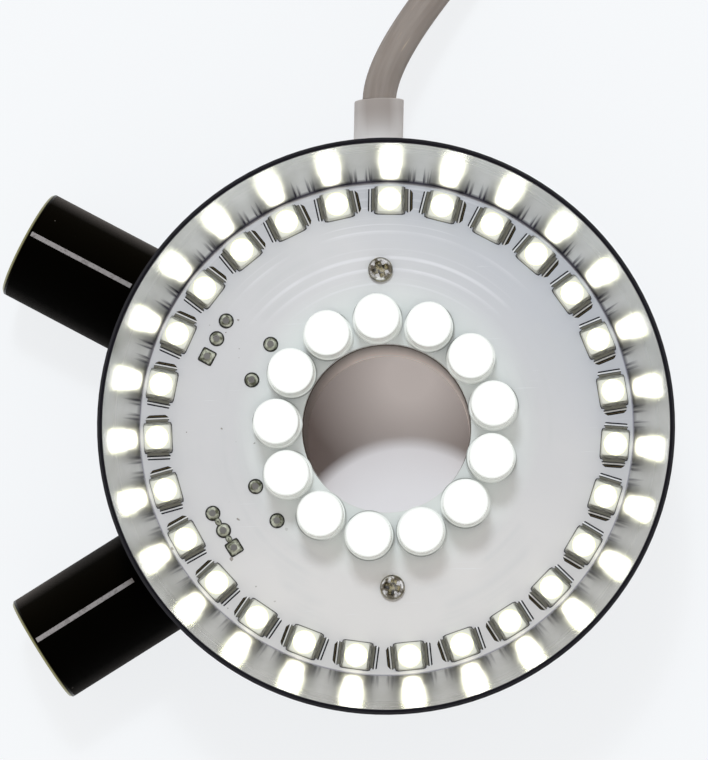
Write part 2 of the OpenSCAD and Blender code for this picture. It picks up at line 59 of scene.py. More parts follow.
# camera
camera = {"place": (5.47, -27.8, 517.6), "turn": (3.734, 1.137, -2.2), "lens": 226.0, "sensor": 36.0,
          "nearest": 0.01}

cameraData = bpy.data.cameras.new("camera")
cameraData.lens = camera["lens"]
cameraData.sensor_width = camera["sensor"]
cameraData.clip_start = camera["nearest"]
cameraObject = addObject("camera", cameraData)
cameraObject.location = [x * mm for x in camera["place"]]
cameraObject.rotation_mode = "YXZ"
cameraObject.rotation_euler = [radians(a) for a in camera["turn"]]
scene.camera = cameraObject
print("camera placed")


# surfaces
def unit(vectors):
    return vectors / np.linalg.norm(vectors, axis=-1, keepdims=True)


def smoothStep(x):
    # 3 x^2 - 2 x^3 between 0 and 1, flat outside
    x = np.clip(x, 0, 1)
    return x * x * (3 - 2 * x)


def squared(wave, power):
    # a wave pushed towards its ends, for sections with rounded corners: its sign times |wave|^power
    return np.sign(wave) * np.abs(wave) ** power


def fullTurn(sides):
    return np.linspace(0, tau, sides, endpoint=False)


def polar(radius, angle, height):
    # x = radius cos(angle), y = radius sin(angle), z = height
    return np.stack(np.broadcast_arrays(radius * np.cos(angle), radius * np.sin(angle), height), -1)


def turnUv(sides, values):
    # u is the share of a turn, v the value that is given for each row
    return np.stack(np.broadcast_arrays(np.linspace(0, 1, sides + 1)[None], values[:, None]), -1)


def capped(points, uv):
    # rows of points that close round, with both ends filled
    return {"points": points, "uv": uv, "around": True, "capStart": True, "capEnd": True}


def roundedLine(corners, radii, steps=4, hold=0.3):
    # an open outline whose inner corners become quadratic curves: each leaves its side at radius / tan(half the
    # corner's angle), and one more point a little before and after it keeps the flats flat
    corners, radii = np.asarray(corners, float), np.asarray(radii, float)
    back, ahead = unit(corners[:-2] - corners[1:-1]), unit(corners[2:] - corners[1:-1])
    half = 0.5 * np.arccos(np.clip((back * ahead).sum(-1), -1, 1))
    reach = (radii / np.tan(half))[:, None]
    start, end = corners[1:-1] + back * reach, corners[1:-1] + ahead * reach
    t = np.linspace(0, 1, steps + 1)[None, :, None]
    arcs = (1 - t) ** 2 * start[:, None] + 2 * t * (1 - t) * corners[1:-1, None] + t ** 2 * end[:, None]
    before = (corners[1:-1] + back * reach * (1 + hold))[:, None]
    after = (corners[1:-1] + ahead * reach * (1 + hold))[:, None]
    inner = np.concatenate([before, arcs, after], 1).reshape(-1, 2)
    return np.concatenate([corners[:1], inner, corners[-1:]])


def runLength(points):
    # distance along a line of points, from 0
    return np.concatenate([[0], np.cumsum(np.linalg.norm(np.diff(points, axis=0), axis=1))])


def lathe(profile, sides, closed=False):
    # a profile (radius, height) turned round Z: x = radius cos(angle), y = radius sin(angle);
    # u is the share of a turn and v the distance along the profile; a closed profile ends where it began
    profile = np.asarray(profile, float)
    points = polar(profile[:, :1], fullTurn(sides), profile[:, 1:])
    run = runLength(np.concatenate([profile, profile[:1]]) if closed else profile)
    return {"points": points, "uv": turnUv(sides, run), "around": True, "along": closed}


def tube(path, radius, sides):
    # a circle carried along a path: path + radius (cos(angle) side + sin(angle) up), where side is level
    ahead = unit(np.gradient(path, axis=0))
    side = unit(np.cross([0.0, 0.0, 1.0], ahead))
    up = np.cross(ahead, side)
    angle = fullTurn(sides)[None, :, None]
    points = path[:, None] + radius * (np.cos(angle) * side[:, None] + np.sin(angle) * up[:, None])
    return capped(points, turnUv(sides, runLength(path)))


def strip(line, out, across, thick):
    # a flat section carried along a line of (y, z): x = across, and (y, z) = line + thick times its outward direction
    yz = line[:, None] + out[:, None] * thick[None, :, None]
    return np.stack([np.broadcast_to(across, yz.shape[:2]), yz[..., 0], yz[..., 1]], -1)


def gridFaces(rows, columns, wrapRows, wrapColumns):
    # every cell between neighbouring rows and columns is one quad; a wrapped side joins its last line to its first
    i, j = np.meshgrid(np.arange(rows - 1 + wrapRows), np.arange(columns - 1 + wrapColumns), indexing="ij")
    corners = [(i, j), (i, j + 1), (i + 1, j + 1), (i + 1, j)]
    points = np.stack([(a % rows) * columns + b % columns for a, b in corners], -1).reshape(-1, 4)
    return points, np.stack([np.stack(c, -1) for c in corners], -2).reshape(-1, 4, 2)


def placed(patch, axes, origin):
    # the patch's own x, y and z laid along three directions from a point
    return dict(patch, points=patch["points"] @ np.asarray(axes, float) + np.asarray(origin, float))


def ringOf(patch, ring):
    # copies round Z: the patch's own x points outwards from the ring's radius, at evenly spread angles
    angle = radians(ring["phase"]) + np.arange(ring["count"]) * tau / ring["count"]
    x, y, z = np.moveaxis(patch["points"], -1, 0)
    cos, sin = np.cos(angle)[:, None, None], np.sin(angle)[:, None, None]
    x = x + ring["radius"]
    z = np.broadcast_to(z + boardTop, (len(angle), *z.shape))
    return dict(patch, points=np.stack([x * cos - y * sin, x * sin + y * cos, z], -1))


def pieceFrom(name, patches, material, stands, sharp=50):
    # joins grids, each one or many copies of rows x columns points in mm, into one mesh in metres on the lamp;
    # an end marked capStart or capEnd is closed by a fan to the middle of its row
    verts, faces, uvs, first = [], [], [], 0
    for patch in patches:
        points, uv = patch["points"], patch["uv"]
        points = points.reshape(-1, *points.shape[-3:])
        copies, rows, columns = points.shape[:3]
        around, along = int(patch.get("around", False)), int(patch.get("along", False))
        uv = np.broadcast_to(uv, (copies, *uv.shape[-3:]))
        quads, cells = gridFaces(rows, columns, along, around)
        size = rows * columns
        shift = first + np.arange(copies)[:, None, None] * size
        faces += (shift + quads).reshape(-1, 4).tolist()
        uvs.append(uv[:, cells[..., 0], cells[..., 1]].reshape(-1, 2))
        verts.append(points.reshape(-1, 3))
        first += copies * size
        j = np.arange(columns)
        for row, wanted in ((0, patch.get("capStart")), (rows - 1, patch.get("capEnd"))):
            if not wanted:
                continue
            a, b = row * columns + j, row * columns + (j + 1) % columns
            a, b = (b, a) if row == 0 else (a, b)
            edge = np.stack([a, b], -1) + shift
            centre = np.broadcast_to((first + np.arange(copies))[:, None, None], (copies, columns, 1))
            faces += np.concatenate([edge, centre], -1).reshape(-1, 3).tolist()
            ends = np.stack([uv[:, row, j], uv[:, row, (j + 1) % uv.shape[2]]], -2)
            ends = ends[..., ::-1, :] if row == 0 else ends
            middle = np.broadcast_to(uv[:, row, :columns].mean(1)[:, None, None], (copies, columns, 1, 2))
            uvs.append(np.concatenate([ends, middle], -2).reshape(-1, 2))
            verts.append(points[:, row].mean(1))
            first += copies
    mesh = bpy.data.meshes.new(name)
    mesh.from_pydata((np.concatenate(verts) * mm).tolist(), [], faces)
    mesh.uv_layers.new(name="surface").data.foreach_set("uv", np.concatenate(uvs).ravel())
    mesh.polygons.foreach_set("use_smooth", np.ones(len(mesh.polygons), bool))
    mesh.set_sharp_from_angle(angle=radians(sharp))
    mesh.materials.append(material)
    piece = addObject(name, mesh)
    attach(piece, "lamp")
    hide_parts(*stands)
    return piece


# node helpers: most find their tree by the values they are given
unlit, white = (0.0, 0.0, 0.0, 1.0), (1.0, 1.0, 1.0, 1.0)
noiseSpan = (0.3, 0.7)  # nearly all of a noise lies between these


def paint(red, green, blue):
    # a colour as it looks on screen, 0 to 255, made linear
    c = np.array([red, green, blue]) / 255
    return (*np.where(c <= 0.04045, c / 12.92, ((c + 0.055) / 1.055) ** 2.4).tolist(), 1.0)


def newNode(tree, kind, values=None, **props):
    node = tree.nodes.new("ShaderNode" + kind)
    for key, value in props.items():
        setattr(node, key, value)
    for key, value in (values or {}).items():
        if isinstance(value, bpy.types.NodeSocket):
            tree.links.new(value, node.inputs[key])
        else:
            node.inputs[key].default_value = value
    return node


def addNode(kind, values, **props):
    linked = [value for value in values.values() if isinstance(value, bpy.types.NodeSocket)]
    return newNode(linked[0].id_data, kind, values, **props)


def maths(operation, *values):
    return addNode("Math", dict(enumerate(values)), operation=operation).outputs[0]


times, plus, minus = (partial(maths, operation) for operation in ("MULTIPLY", "ADD", "SUBTRACT"))
larger, unsigned, sine = (partial(maths, operation) for operation in ("MAXIMUM", "ABSOLUTE", "SINE"))


def vectorMaths(operation, *values):
    return addNode("VectorMath", dict(enumerate(values)), operation=operation).outputs


def mixed(factor, first, second):
    # the second colour over the first; three numbers are a colour as it looks on screen, four a linear one
    first, second = (paint(*c) if isinstance(c, tuple) and len(c) == 3 else c for c in (first, second))
    return addNode("Mix", {0: factor, 6: first, 7: second}, data_type="RGBA").outputs[2]


def layered(colour, *layers):
    # tones laid over a colour one after the other, each where its mask is 1
    for mask, tone in layers:
        colour = mixed(mask, colour, tone)
    return colour


def between(value, low, high, toLow=0.0, toHigh=1.0, smooth=False):
    kind = "SMOOTHSTEP" if smooth else "LINEAR"
    given = {"Value": value, "From Min": low, "From Max": high, "To Min": toLow, "To Max": toHigh}
    return addNode("MapRange", given, interpolation_type=kind).outputs["Result"]


def overBoard(z, low, high, toLow=0.0, toHigh=1.0):
    # between two heights over the board, in mm
    return between(z, (boardTop + low) * mm, (boardTop + high) * mm, toLow, toHigh)


def noise(vector, scale, detail=2.0, roughness=0.5):
    given = {"Vector": vector, "Scale": scale, "Detail": detail, "Roughness": roughness}
    return addNode("TexNoise", given).outputs["Fac"]


def lineNoise(along, detail):
    # a noise along one number
    given = {"W": along, "Scale": 1.0, "Detail": detail}
    return addNode("TexNoise", given, noise_dimensions="1D").outputs["Fac"]


def xyz(vector):
    return addNode("SeparateXYZ", {0: vector}).outputs


def flatPlace(x, y):
    # a level vector, and its length
    flat = addNode("CombineXYZ", {0: x, 1: y}).outputs[0]
    return flat, vectorMaths("LENGTH", flat)["Value"]


def stretched(*pairs):
    # a vector of values, each times a scale of its own
    return addNode("CombineXYZ", {i: times(*pair) for i, pair in enumerate(pairs)}).outputs[0]


def surfaceUv(place):
    return xyz(newNode(place.id_data, "UVMap", uv_map="surface").outputs[0])


def cameraRay(place):
    return newNode(place.id_data, "LightPath").outputs["Is Camera Ray"]


def sightRays(place):
    # 1 for what is seen by the camera, in a reflection or through something clear
    ray = newNode(place.id_data, "LightPath").outputs
    return larger(ray["Is Camera Ray"], larger(ray["Is Glossy Ray"], ray["Is Transmission Ray"]))


def join(values):
    # links to the inputs of a material's shader or of a group's end
    for label, value in values.items():
        tree = value.id_data
        end = tree.nodes.get("Principled BSDF") or tree.nodes["Group Output"]
        tree.links.new(value, end.inputs[label])


def newGroup(name, numbers, outputs):
    # a node group that makes numbers from a place and numbers
    group = bpy.data.node_groups.new(name, "ShaderNodeTree")
    group.interface.new_socket(name="Place", in_out="INPUT", socket_type="NodeSocketVector")
    for side, labels in (("INPUT", numbers), ("OUTPUT", outputs)):
        for label in labels:
            group.interface.new_socket(name=label, in_out=side, socket_type="NodeSocketFloat")
    group.nodes.new("NodeGroupOutput").name = "Group Output"
    return group, group.nodes.new("NodeGroupInput").outputs


# even fine unevenness: a noise between two values, and the same noise as a height
fineGrain, given = newGroup("fineGrain", ("Scale", "Low", "High"), ("Value", "Height"))
grain = noise(given["Place"], given["Scale"], 4.0, 0.6)
join({"Height": grain, "Value": between(grain, *noiseSpan, given["Low"], given["High"])})

# marks of turning: a noise along radius plus height only, so its lines run round the Z axis
turnedLines, given = newGroup("turnedLines", ("Lines", "Low", "High"), ("Value", "Height"))
x, y, z = xyz(given["Place"])
lines = lineNoise(times(plus(flatPlace(x, y)[1], z), given["Lines"]), 3.0)
join({"Height": lines, "Value": between(lines, *noiseSpan, given["Low"], given["High"])})

# dust and dirt: a few small blobs, one in some of the cells of a cell pattern
dustSpecks, given = newGroup("dustSpecks", ("Scale", "Share", "Size"), ("Mask",))
wobble = addNode("TexNoise", {"Vector": given["Place"], "Scale": times(given["Scale"], 3.0)}).outputs["Color"]
nudge = vectorMaths("MULTIPLY", wobble, (0.0004, 0.0004, 0.0004))[0]
moved = vectorMaths("ADD", given["Place"], nudge)[0]
cells = addNode("TexVoronoi", {"Vector": moved, "Scale": given["Scale"]}).outputs
chosen = xyz(cells["Color"])
near = maths("LESS_THAN", cells["Distance"], times(chosen[1], given["Size"]))
join({"Mask": times(near, maths("LESS_THAN", chosen[0], given["Share"]))})


def grainOn(place, scale, low, high):
    given = {"Place": place, "Scale": scale, "Low": low, "High": high}
    return addNode("Group", given, node_tree=fineGrain).outputs


def linesOn(place, lines, low, high):
    given = {"Place": place, "Lines": lines, "Low": low, "High": high}
    return addNode("Group", given, node_tree=turnedLines).outputs


def specksOn(place, scale, share, size):
    given = {"Place": place, "Scale": scale, "Share": share, "Size": size}
    return addNode("Group", given, node_tree=dustSpecks).outputs["Mask"]


def newFinish(name, fixed):
    # a material with its shader's plain values set, and its object coordinates
    material = bpy.data.materials.new(name)
    material.use_nodes = True
    tree = material.node_tree
    for label, value in fixed.items():
        tree.nodes["Principled BSDF"].inputs[label].default_value = value
    return material, newNode(tree, "TexCoord").outputs["Object"]


def bumped(height, depth):
    return addNode("Bump", {"Height": height, "Distance": depth * mm, "Strength": 1.0}).outputs["Normal"]


def dress(colour, grain, depth):
    # a colour, with a grain as its gloss and as a relief of some depth in mm
    join({"Base Color": colour, "Roughness": grain["Value"], "Normal": bumped(grain["Height"], depth)})


def mouldedFinish(name, colour, worn, roughness, metallic=0.0, scale=1400.0, depth=0.01):
    # moulded, plated or painted stuff: colour that drifts towards a worn tone, uneven gloss and a fine skin
    material, place = newFinish(name, {"Metallic": metallic})
    drift = grainOn(place, scale * 0.2, 0.0, 1.0)
    dress(mixed(drift["Value"], colour, worn), grainOn(place, scale, *roughness), depth)
    return material


# cord, its tie and its plug
cord = {"diameter": 3.6, "sleeveEnd": 35.7, "axisHeight": 8.5, "rest": 2.6, "coilCentre": (0.0, 86.0),
        "coilStart": -40.0, "turns": 8.5, "coilRadius": 30.0, "pitch": 4.2, "climbFrom": 4.0, "climbTurns": 0.5,
        "overrun": 3.6, "lean": 0.45, "sleeveHandle": 7.0, "coilHandle": 12.0, "plugHandle": 9.0,
        "plugPlace": (-35.0, 83.5856, 4.5), "plugHeading": (-0.2756374, -0.9612617, 0.0), "sides": 20,
        "leadPoints": 40, "coilPoints": 480, "plugPoints": 28}


def coilPoint(turn):
    # a flat spiral inwards and, a layer higher, outwards again: the radius loses a pitch a turn until half way
    angle = radians(cord["coilStart"]) + tau * turn
    radius = cord["coilRadius"] - cord["pitch"] * np.minimum(turn, cord["turns"] - turn)
    climb = smoothStep((turn - cord["climbFrom"]) / cord["climbTurns"])
    return polar(radius, angle, cord["rest"] + cord["pitch"] * climb) + [*cord["coilCentre"], 0.0]


def bend(start, startHandle, endHandle, end, count):
    # cubic Bezier line through two ends and two handles
    t = np.linspace(0, 1, count)[:, None]
    return ((1 - t) ** 3 * start + 3 * t * (1 - t) ** 2 * startHandle
            + 3 * t ** 2 * (1 - t) * endHandle + t ** 3 * end)


def cordRoute():
    # out of the sleeve, down to the coil, round it, and off to the plug
    last, step = cord["turns"], 0.001
    coilIn = unit(coilPoint(np.array(step)) - coilPoint(np.array(0.0)))
    coilOut = unit(coilPoint(np.array(last)) - coilPoint(np.array(last - step)))
    coilFirst = coilPoint(np.array(0.0)) - cord["overrun"] * coilIn
    coilLast = coilPoint(np.array(last)) + cord["overrun"] * coilOut
    exitPoint = np.array([cord["lean"], cord["sleeveEnd"], cord["axisHeight"]])
    plugPlace, heading = np.array(cord["plugPlace"]), np.array(cord["plugHeading"])
    lead = bend(exitPoint, exitPoint + [cord["lean"], cord["sleeveHandle"], 0],
                coilFirst - cord["coilHandle"] * coilIn, coilFirst, cord["leadPoints"])
    turns = coilPoint(np.linspace(0, last, cord["coilPoints"]))
    away = bend(coilLast, coilLast + cord["plugHandle"] * coilOut,
                plugPlace - cord["plugHandle"] * heading, plugPlace, cord["plugPoints"])
    return np.concatenate([lead, turns, away])


# warm grey vinyl: the conductors show faintly through it as broken streaks and straw glints along the cord
cordGrey, place = newFinish(
    "cordGrey", {"Subsurface Weight": 0.15, "Subsurface Radius": (1.0, 0.8, 0.6), "Subsurface Scale": 0.001,
                 "Specular IOR Level": 0.22})
uv = surfaceUv(place)
streak = noise(stretched((uv[0], 6.0), (uv[1], 0.05)), 2.2, 3.0)
vinyl = mixed(between(streak, 0.35, 0.65), (138, 128, 121), (152, 143, 136))
glint = between(noise(stretched((uv[0], 40.0), (uv[1], 0.22)), 1.0), 0.68, 0.76, 0.0, 0.5)
dress(mixed(glint, vinyl, (206, 184, 158)), grainOn(place, 1600.0, 0.5, 0.66), 0.008)

route = cordRoute()
cordPiece = pieceFrom("supplyCord", [tube(route, cord["diameter"] / 2, cord["sides"])], cordGrey,
                      stands=("lead_cable", "cable_coil", "plug_cable"))

# tie: a flat band in a long loop round the coil's turns
tie = {"inner": 12.15, "outer": 30.0, "height": 4.7, "halfHeight": 3.9, "gap": 0.35, "thickness": 0.42,
       "width": 4.8, "bendPoints": 17, "runPoints": 9, "sides": 24, "rib": 0.5, "threads": 18}


def tieLoop():
    # two straight runs and two half circles; the band's section is a flat rectangle with rounded corners
    reach = tie["halfHeight"] + tie["gap"] + tie["thickness"] / 2
    first, last = cord["coilCentre"][1] + tie["inner"], cord["coilCentre"][1] + tie["outer"]
    half = np.linspace(-np.pi / 2, np.pi / 2, tie["bendPoints"])
    run = np.linspace(0, 1, tie["runPoints"])[1:-1]
    ahead = np.stack([last + reach * np.cos(half), reach * np.sin(half)], -1)
    top = np.stack([last + (first - last) * run, np.full(len(run), reach)], -1)
    behind = np.stack([first - reach * np.cos(half), -reach * np.sin(half)], -1)
    low = np.stack([first + (last - first) * run, np.full(len(run), -reach)], -1)
    line = np.concatenate([ahead, top, behind, low])
    out = np.concatenate([np.stack([np.cos(half), np.sin(half)], -1), np.tile([0.0, 1.0], (len(run), 1)),
                          np.stack([-np.cos(half), -np.sin(half)], -1), np.tile([0.0, -1.0], (len(run), 1))])
    angle = fullTurn(tie["sides"])
    points = strip(line, out, squared(np.cos(angle), 0.2) * tie["width"] / 2,
                   squared(np.sin(angle), 0.5) * tie["thickness"] / 2)
    return {"points": points + [0.0, 0.0, tie["height"]], "around": True, "along": True,
            "uv": turnUv(tie["sides"], runLength(np.concatenate([line, line[:1]])))}


# woven nylon band: a rib across every half millimetre
tieBlack, place = newFinish("tieBlack", {})
uv = surfaceUv(place)
rib = sine(times(uv[1], tau / tie["rib"]))
weave = times(rib, sine(times(uv[0], tau * tie["threads"])))
join({"Base Color": mixed(between(weave, -1.0, 1.0), (22, 22, 24), (52, 52, 54)),
      "Roughness": grainOn(place, 2400.0, 0.6, 0.8)["Value"], "Normal": bumped(weave, 0.05)})
tiePiece = pieceFrom("coilTie", [tieLoop()], tieBlack, stands=("coil_tie",))


# finishes of the cup and its board, with places in metres
# black anodised cup: turning marks, a bluish black with a little dust, and a brownish bore whose tones are painted
# light and shade, lighter low down, plus a painted glow low down for the paper's light, which only the camera sees
bore = {"edge": (0.0093, 0.0092), "low": (0.001, 0.0145), "high": (0.0145, 0.0172), "shade": (-0.0085, -0.003),
        "near": (-0.003, -0.0065), "glowTop": 0.0155, "glow": (0.165, 0.139, 0.133, 1.0)}

anodisedBlack, place = newFinish("anodisedBlack", {"Specular IOR Level": 0.2, "Emission Strength": 1.0})
skin = mixed(grainOn(place, 900.0, 0.0, 1.0)["Value"], (10, 8, 15), (18, 16, 24))
skin = mixed(times(specksOn(place, 420.0, 0.1, 0.1), 0.3), skin, (120, 116, 112))
x, y, z = xyz(place)
# painted shade on the bore's -x side, painted light on its -y side away from the cord, and the wall painted lighter
# low down and darker up high
shady = between(x, *bore["shade"], 0.85, 0.0)
boreLightAndShade = layered(
    mixed(between(z, *bore["low"]), (252, 240, 230), (132, 121, 113)),
    (between(z, *bore["high"]), (70, 61, 55)),
    (shady, (60, 42, 30)),
    (between(y, *bore["near"]), (224, 222, 219)))
inBore = between(flatPlace(x, y)[1], *bore["edge"])
# a painted glow low in the bore, weaker on the shaded side, that only the camera sees
paintedBoreGlow = times(between(z, 0.0, bore["glowTop"], 1.0, 0.0), minus(1.0, shady))
paintedBoreGlow = times(times(paintedBoreGlow, cameraRay(place)), inBore)
dress(mixed(inBore, skin, boreLightAndShade), linesOn(place, 9000.0, 0.3, 0.42), 0.006)
join({"Emission Color": mixed(paintedBoreGlow, unlit, bore["glow"])})

# bright turned cone: the tool's grooves run round it, so it blurs along its slope and stays sharp round it;
# a thin painted shadow line at its foot, deepest on the cord's side, and dark streaks beside the lamps' ends painted
# as reflections of their leads
smd = {"count": 27, "radius": 24.0, "phase": 7.0}  # the ring of small lamps, whose places the streaks follow
cone = {"footLine": (0.0181, 0.0185), "footSide": (-0.006, 0.016), "polish": (0.021, 0.0234),
        "polishSide": (0.01, 0.027), "streaks": ((0.335, 0.04, 0.012), (0.41, 0.034, 0.01)), "ragged": 22.0,
        "streakTop": (0.0026, 0.0178), "streakEnd": 0.0009, "streakSide": (-0.02, 0.016)}

brightAluminium, place = newFinish(
    "brightAluminium", {"Metallic": 1.0, "Anisotropic": 0.78, "Anisotropic Rotation": 0.25})
y, z = xyz(place)[1:]
# painted shadow: a dark line along the cone's foot, deepest towards +y
foot = times(between(z, *cone["footLine"], 1.0, 0.0), between(y, *cone["footSide"], 0.12, 0.95))
# painted reflections of the lamps' dark leads: streaks on each side of every lamp, rising raggedly from the foot,
# stronger towards +y
lampTurn = maths("MULTIPLY_ADD", surfaceUv(place)[0], smd["count"], 0.5 - smd["count"] * smd["phase"] / 360)
beside = unsigned(minus(maths("FRACT", lampTurn), 0.5))
paintedLeadReflections = larger(*(between(unsigned(minus(beside, middle)), outer, inner) for middle, outer, inner in cone["streaks"]))
rise = maths("MULTIPLY_ADD", lineNoise(times(lampTurn, cone["ragged"]), 1.0), *cone["streakTop"])
paintedLeadReflections = times(paintedLeadReflections, between(minus(z, rise), -cone["streakEnd"], cone["streakEnd"], 0.95, 0.0))
paintedLeadReflections = times(paintedLeadReflections, between(y, *cone["streakSide"], 0.4, 1.0))
metal = mixed(grainOn(place, 260.0, 0.0, 1.0)["Value"], (222, 222, 219), (236, 236, 234))
edge = between(unsigned(y), *cone["polishSide"], 0.34, 0.72)
polish = between(z, *cone["polish"], 1.0, edge)  # the edge below the rim is smoother, most at the sides
join({"Base Color": mixed(larger(foot, paintedLeadReflections), metal, (52, 46, 66)),
      "Roughness": times(linesOn(place, 7000.0, 0.3, 0.36)["Value"], polish),
      "Tangent": newNode(place.id_data, "Tangent", direction_type="UV_MAP", uv_map="surface").outputs[0]})

# white solder mask: faint copper arcs under it, hairline scratches, brown flux specks on the dimmers' side and pale
# arcs on the cord's side; painted light and shade too: lighter towards the bottom, shaded sides and upper right
# corner, a greenish painted glow round the flat lamps and a painted shadow line at the cone's foot
board = {"fade": (-0.016, 0.02), "sides": (0.006, 0.017), "sidesFrom": (-0.016, -0.006), "corner": (0.016, 0.028),
         "nearLamps": (0.0162, 0.0128), "footLine": (0.02578, 0.02592), "paleArcsFrom": (0.011, 0.016),
         "dirt": (-0.008, -0.016),
         "scratches": ((0.6, (90.0, 2600.0, 1.0), 0.67, 0.73), (-0.15, (60.0, 1700.0, 1.0), 0.69, 0.75))}

boardWhite, place = newFinish("boardWhite", {"Coat Weight": 0.1, "Coat Roughness": 0.3})
x, y = xyz(place)[:2]
grain = grainOn(place, 2200.0, 0.34, 0.46)
copper = times(linesOn(place, 520.0, 0.0, 1.0)["Value"], between(noise(place, 130.0), 0.48, 0.62))
hairs = []
for turn, scale, low, high in board["scratches"]:
    along = addNode("Mapping", {"Vector": place, "Rotation": (0, 0, turn), "Scale": scale}).outputs[0]
    hairs.append(between(noise(along, 1.0, 3.0, 0.7), low, high))
dirty = times(specksOn(place, 700.0, 0.6, 0.15), between(x, *board["dirt"]))
paleArcs = times(between(linesOn(place, 1500.0, 0.0, 1.0)["Value"], 0.6, 0.95), between(y, *board["paleArcsFrom"]))
paleArcs = times(paleArcs, between(noise(place, 90.0, 1.0), 0.4, 0.55))
# painted shade on the left and right sides, fading out towards the bottom
sides = times(between(unsigned(x), *board["sides"], 0.0, 0.55), between(y, *board["sidesFrom"]))
away = flatPlace(x, y)[1]
# painted light and shade on the mask: lighter towards the bottom, shaded sides and upper right corner, a greenish
# glow near the flat lamps and a dark shadow line at the cone's foot
mask = layered(
    mixed(between(y, *board["fade"]), (220, 217, 215), (212, 211, 212)),
    (sides, (203, 202, 204)),
    (between(plus(x, y), *board["corner"], 0.0, 0.6), (188, 191, 198)),
    (between(away, *board["nearLamps"], 0.0, 0.55), (229, 235, 230)),
    (between(away, *board["footLine"], 0.0, 0.7), (96, 90, 116)),
    (times(copper, 0.4), (200, 201, 201)),
    (times(larger(*hairs), 0.5), (230, 231, 233)),
    (times(paleArcs, 0.55), (236, 235, 239)),
    (times(dirty, 0.7), (116, 104, 92)))
height = plus(times(copper, 0.6), times(grain["Height"], 0.2))
join({"Base Color": mask, "Roughness": grain["Value"], "Normal": bumped(height, 0.03)})
print("cup and board finished")


# reflector
reflector = {"footRadius": 25.95, "footWide": 1.2, "topRadius": 29.43, "outerRadius": 29.48, "step": 17.99,
             "top": 23.4, "sides": 360, "rows": 24, "lip": 0.02}


def reflectorRing():
    # a closed outline turned round Z: outer wall, narrow lip, the straight slope back and a small step at its foot
    footRadius, topRadius, outerRadius = (reflector[key] for key in ("footRadius", "topRadius", "outerRadius"))
    wall = roundedLine([[footRadius + reflector["footWide"], boardTop], [outerRadius, boardTop],
                        [outerRadius, reflector["top"]], [topRadius, reflector["top"]]], [reflector["lip"]] * 2)
    slope = np.linspace([topRadius, reflector["top"]], [footRadius, reflector["step"]], reflector["rows"])
    return lathe(np.concatenate([wall, slope[1:], [[footRadius, boardTop]]]), reflector["sides"], closed=True)


pieceFrom("reflectorCone", [reflectorRing()], brightAluminium, stands=("reflector_ring",))
print("reflector turned")


# small square lamps
smdCase = {"halfWide": 1.4, "halfLong": 1.6, "tall": 1.9, "lensRadius": 1.19, "cupFoot": 0.95, "cupDepth": 0.8,
           "points": 56, "square": 14.0}


def smdCaseShape():
    # loops from a rounded rectangle to a circle: radius = (|cos/a|^p + |sin/b|^p)^(-1/p), where p falls to 2
    wide, long, tall = smdCase["halfWide"], smdCase["halfLong"], smdCase["tall"]
    lens, square, foot = smdCase["lensRadius"], smdCase["square"], smdCase["cupFoot"]
    rows = np.array([  # height, half width across, half length along, squareness
        [0.0, wide + 0.11, long + 0.07, square], [0.05, wide + 0.11, long + 0.07, square],
        [0.07, wide + 0.09, long + 0.05, square], [0.09, wide, long, square],
        [1.1, wide, long, square], [1.15, wide - 0.005, long - 0.02, square],
        [tall - 0.1, wide - 0.03, long - 0.32, square], [tall - 0.04, wide - 0.04, long - 0.35, square],
        [tall - 0.01, wide - 0.06, long - 0.37, square], [tall, wide - 0.1, long - 0.39, square - 2],
        [tall, lens + 0.015, lens + 0.015, 2.6], [tall - 0.01, lens, lens, 2.0],
        [tall - 0.04, lens - 0.01, lens - 0.01, 2.0], [tall - smdCase["cupDepth"], foot, foot, 2.0]])
    height, a, b, p = rows.T[:, :, None]
    angle = fullTurn(smdCase["points"]) + tau / smdCase["points"] / 2
    radius = (np.abs(np.cos(angle) / a) ** p + np.abs(np.sin(angle) / b) ** p) ** (-1 / p)
    points = polar(radius, angle, height)
    return capped(points, np.concatenate([points, points[:, :1]], 1)[..., :2])  # uv: mm across and along the case


smdLens = {"radius": 1.18, "footRadius": 0.93, "foot": 1.11, "rim": 1.86, "middle": 1.81, "sides": 40}


def smdLensShape():
    # a filled cup: sloping wall, then a top that dips from the rim to its middle: rim - dip (1 - share of radius^2)
    inwards = np.linspace(1, 0.06, 9)
    dip = smdLens["rim"] - (smdLens["rim"] - smdLens["middle"]) * (1 - inwards ** 2)
    top = np.stack([smdLens["radius"] * inwards, dip], -1)
    points = lathe(np.concatenate([[[smdLens["footRadius"], smdLens["foot"]]], top]), smdLens["sides"])["points"]
    return capped(points, np.concatenate([points, points[:, :1]], 1)[..., :2] / smdLens["radius"])


smdLead = {"halfWide": 1.16, "case": 1.5, "face": 1.88, "shoulder": 1.08, "thick": 0.14, "bend": 0.12, "sides": 16,
           "foot": 0.02, "wideReach": 2.42, "narrowReach": 2.3, "wideTip": 0.84, "narrowTip": 1.14,
           "wideClimb": 0.55, "narrowClimb": 0.3025, "overlap": 0.08, "bite": 0.04, "bentShare": 0.3,
           "wideFrom": 0.0, "narrowFrom": 2.0}  # v begins at these on the two ends


def smdLeadStrip(end, sign):
    # a flat strip out of the case's end and down to the board, its section a rectangle with rounded corners
    inside = smdLead["thick"] / 2
    face, shoulder = smdLead["face"] - inside, smdLead["shoulder"] - inside
    line = roundedLine([[smdLead["case"], shoulder], [face, shoulder], [face, smdLead["foot"]]],
                       [smdLead["bend"]], steps=6)
    ahead = unit(np.gradient(line, axis=0))
    out = np.stack([-ahead[:, 1], ahead[:, 0]], -1)
    angle = fullTurn(smdLead["sides"]) + tau / smdLead["sides"] / 2
    points = strip(line, out, -squared(np.cos(angle), 0.15) * smdLead["halfWide"],
                   squared(np.sin(angle), 0.4) * inside)
    share = smdLead[end + "From"] + np.linspace(0.0, smdLead["bentShare"], len(line))
    return capped(points * [sign, sign, 1], turnUv(smdLead["sides"], share))


